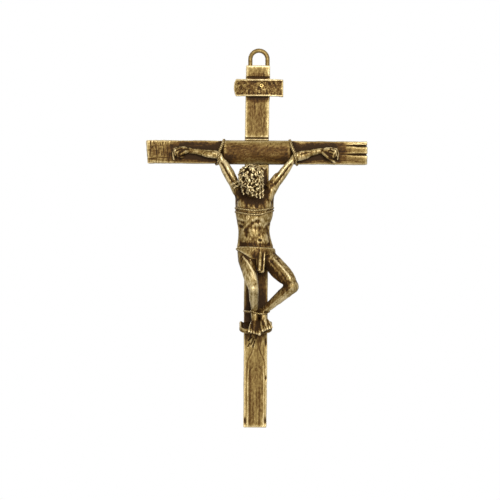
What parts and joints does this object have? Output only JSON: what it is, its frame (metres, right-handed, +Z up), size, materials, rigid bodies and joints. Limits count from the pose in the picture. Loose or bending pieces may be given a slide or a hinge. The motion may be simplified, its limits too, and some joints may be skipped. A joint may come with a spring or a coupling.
{
  "type": "wall crucifix",
  "caption": "Cast bronze wall crucifix: half-lapped timber-form cross with hanging loop, bare title board, foot rest and a bowed, rope-bound figure in a loincloth.",
  "frame": {"origin": "middle of the crossing, on the flat back face that lies against the wall", "axes": "+Z up along the upright, +X to the viewer's right along the crossbeam, +Y into the wall"},
  "size_m": [0.111, 0.028, 0.19],
  "materials": {
    "cross_bronze": "satin cast bronze with wood grain and dark patina in the hollows",
    "figure_bronze": "satin cast bronze, rubbed bright on the high points",
    "rope_bronze": "satin cast bronze, twisted strands",
    "title_bronze": "satin cast bronze with light tool marks",
    "loop_bronze": "bare drawn wire, lightly worn",
    "rivet_brass": "bare brass, peened"
  },
  "bodies": {
    "root": {"upright": "cross_bronze", "crossbeam": "cross_bronze", "lap_rivets": "rivet_brass", "hanging_loop": "loop_bronze", "title_scroll": "title_bronze", "title_rivet": "rivet_brass", "foot_rest": "cross_bronze", "torso": "figure_bronze", "head": "figure_bronze", "right_arm": "figure_bronze", "left_arm": "figure_bronze", "right_leg": "figure_bronze", "left_leg": "figure_bronze", "loincloth": "figure_bronze", "right_arm_rope": "rope_bronze", "left_arm_rope": "rope_bronze", "chest_rope": "rope_bronze", "ankle_rope": "rope_bronze", "body_screws": "rivet_brass", "forearm_pins": "rivet_brass"}
  },
  "joints": []
}
